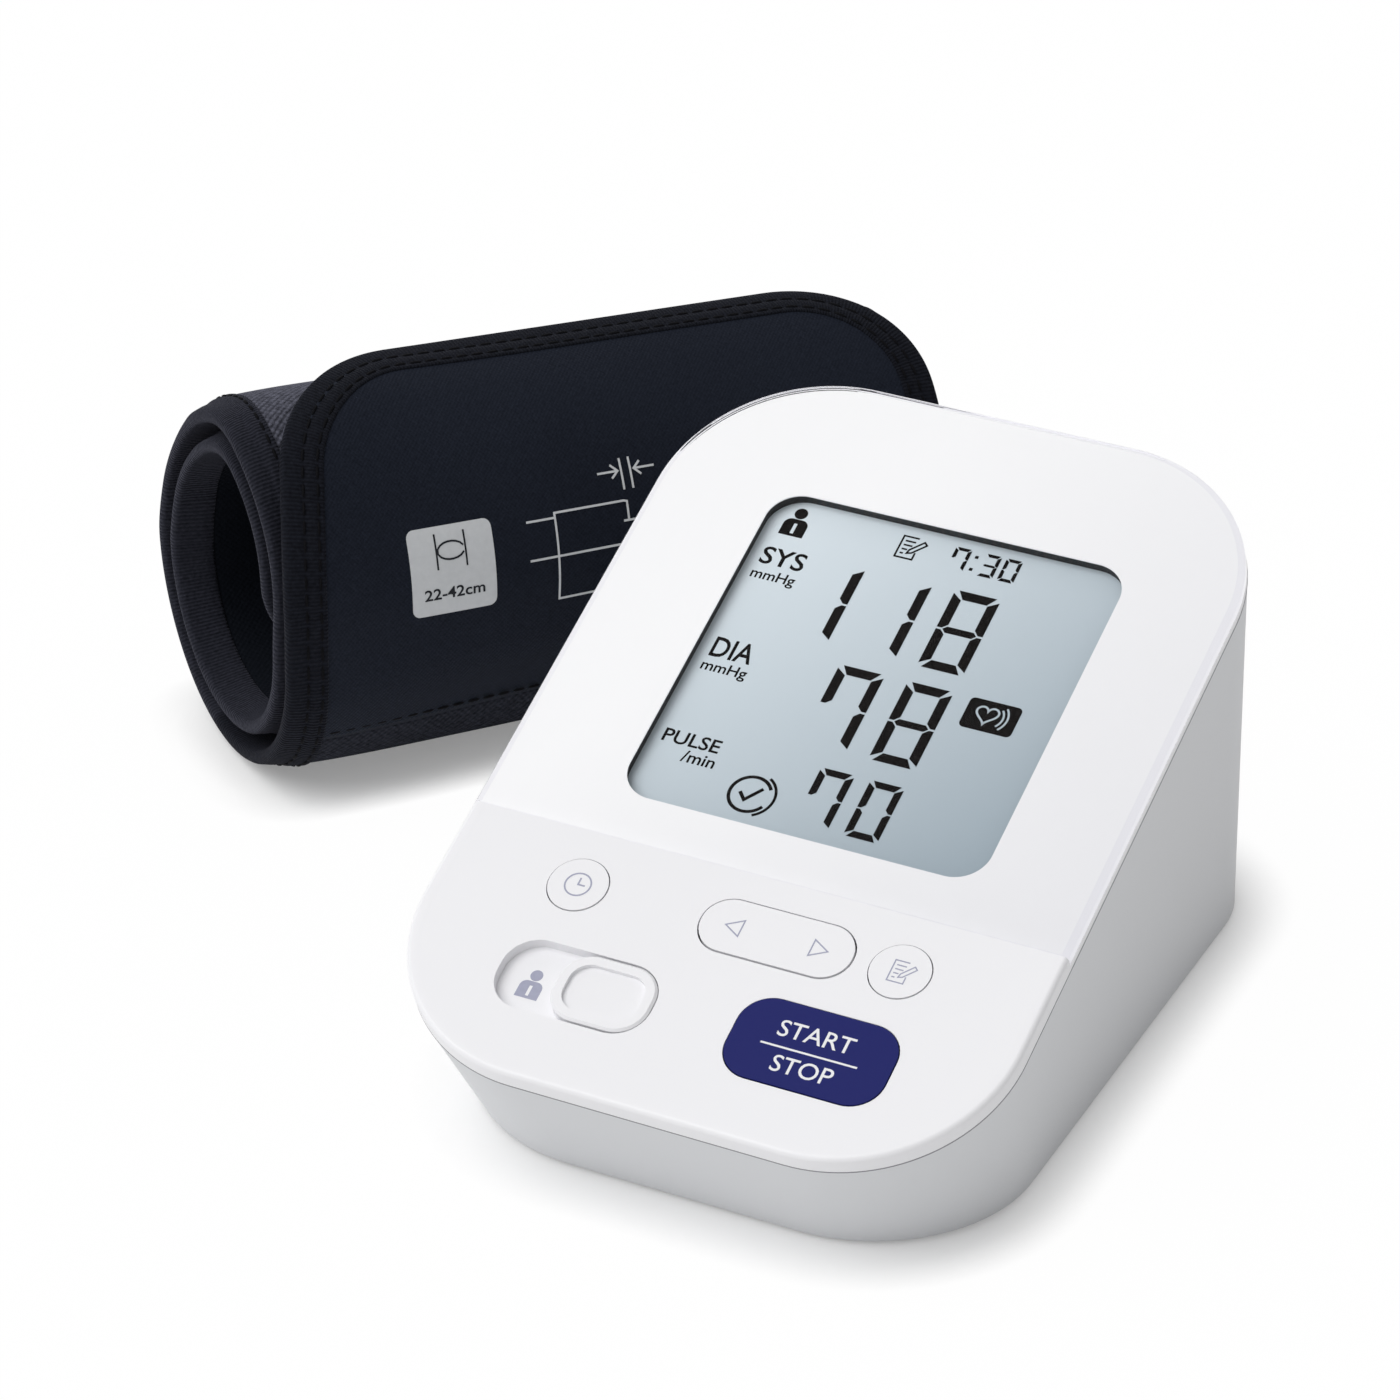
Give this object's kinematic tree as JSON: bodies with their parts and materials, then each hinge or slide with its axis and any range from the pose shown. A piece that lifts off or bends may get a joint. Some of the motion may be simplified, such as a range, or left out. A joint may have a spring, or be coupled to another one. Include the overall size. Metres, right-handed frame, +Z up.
{
  "type": "blood pressure monitor",
  "caption": "Upper arm blood pressure monitor: wedge case with tilted display and sprung buttons, rocker, user slider, pump inside, and a rolled cuff with a peel-off flap beside it.",
  "frame": {"origin": "middle of the case's underside; the table lies 0.8 mm lower, under the rubber feet", "axes": "+X to the user's right, +Y to the back, +Z up"},
  "size_m": [0.2152, 0.2249, 0.0838],
  "materials": {
    "white_shell": "satin white",
    "grey_shell": "fine matte light grey",
    "clear_panel": "clear acrylic, polished",
    "printed_film": "white print",
    "display_cell": "blue grey display with dark segments",
    "navy_cap": "satin navy",
    "black_moulding": "matte black",
    "switch_body": "matte dark grey",
    "board": "green solder mask",
    "grey_moulding": "matte grey",
    "steel": "bright",
    "capacitor_can": "bright",
    "cell_wrap": "plain dark wrap",
    "soft_rubber": "soft",
    "foot_rubber": "matte",
    "cuff_cloth": "smooth woven, near black navy",
    "loop_cloth": "brushed loop cloth, charcoal",
    "bladder": "soft",
    "hook_tape": "stiff hooks, black",
    "port_moulding": "matte black"
  },
  "bodies": {
    "case": {"lower_case": "grey_shell", "upper_case": "white_shell", "display_window": "clear_panel", "display_mask": "printed_film", "lcd_glass": "display_cell", "lcd_holder": "black_moulding", "zebra_strip": "soft_rubber", "main_board": "board", "board_screws": "steel", "mcu_chip": "black_moulding", "buzzer": "black_moulding", "filter_capacitor": "capacitor_can", "pressure_sensor": "black_moulding", "start_switch": "switch_body", "clock_switch": "switch_body", "memory_switch": "switch_body", "back_switch": "switch_body", "forward_switch": "switch_body", "rocker_pin": "steel", "slide_switch": "black_moulding", "case_screws": "steel", "rubber_feet": "foot_rubber", "battery_1": "cell_wrap", "battery_2": "cell_wrap", "battery_3": "cell_wrap", "battery_4": "cell_wrap", "battery_contacts_left": "steel", "battery_contacts_right": "steel", "pump_motor": "steel", "pump_head": "grey_moulding", "pump_cradle": "grey_moulding", "valve_body": "grey_moulding", "air_manifold": "grey_moulding", "pump_tube": "soft_rubber", "valve_tube": "soft_rubber", "sensor_tube": "soft_rubber", "air_jack": "grey_moulding", "dc_jack": "black_moulding"},
    "start_button": {"start_button": "navy_cap"},
    "clock_button": {"clock_button": "white_shell"},
    "memory_button": {"memory_button": "white_shell"},
    "rocker": {"rocker_button": "white_shell"},
    "slider": {"user_slider": "white_shell", "slide_switch_lever": "switch_body"},
    "cover": {"battery_cover": "grey_shell"},
    "rotor": {"pump_rotor": "steel", "pump_eccentric": "grey_moulding"},
    "plunger": {"valve_plunger": "steel"},
    "cuff": {"cuff_outer_fabric": "loop_cloth", "cuff_lining": "cuff_cloth", "cuff_bladder": "bladder", "cuff_port": "port_moulding"},
    "flap": {"cuff_flap": "cuff_cloth", "hook_pad": "hook_tape"}
  },
  "joints": [
    {"name": "start_press", "type": "slide", "parent": "case", "child": "start_button", "axis": [0, 0.3885, -0.9215], "range_m": [0, 0.0006], "stiffness_N_per_m": 1500, "springref_m": -0.0004},
    {"name": "clock_press", "type": "slide", "parent": "case", "child": "clock_button", "axis": [0, 0.3885, -0.9215], "range_m": [0, 0.0006], "stiffness_N_per_m": 1500, "springref_m": -0.0004},
    {"name": "memory_press", "type": "slide", "parent": "case", "child": "memory_button", "axis": [0, 0.3885, -0.9215], "range_m": [0, 0.0006], "stiffness_N_per_m": 1500, "springref_m": -0.0004},
    {"name": "rocker_tip", "type": "hinge", "parent": "case", "child": "rocker", "pos_m": [0.0069, -0.04722, 0.03597], "axis": [0, 0.9215, 0.3885], "range_deg": [-3, 3], "stiffness_Nm_per_rad": 0.15},
    {"name": "user_slide", "type": "slide", "parent": "case", "child": "slider", "axis": [-1, 0, 0], "range_m": [0, 0.01]},
    {"name": "cover_swing", "type": "hinge", "parent": "case", "child": "cover", "pos_m": [0, 0.0045, 0], "axis": [-1, 0, 0], "range_deg": [0, 80]},
    {"name": "pump_spin", "type": "hinge", "parent": "case", "child": "rotor", "pos_m": [0.003, 0.02195, 0.03185], "axis": [1, 0, 0], "continuous": true},
    {"name": "valve_stroke", "type": "slide", "parent": "case", "child": "plunger", "axis": [0, 1, 0], "range_m": [0, 0.0015], "stiffness_N_per_m": 200, "springref_m": -0.001},
    {"name": "cuff_lift", "type": "slide", "parent": "case", "child": "cuff", "axis": [0, 0, 1], "range_m": [0, 0.12]},
    {"name": "flap_peel", "type": "hinge", "parent": "cuff", "child": "flap", "pos_m": [-0.11003, -0.00043, 0.03747], "axis": [0.601, 0.7975, -0.0528], "range_deg": [0, 40]}
  ]
}
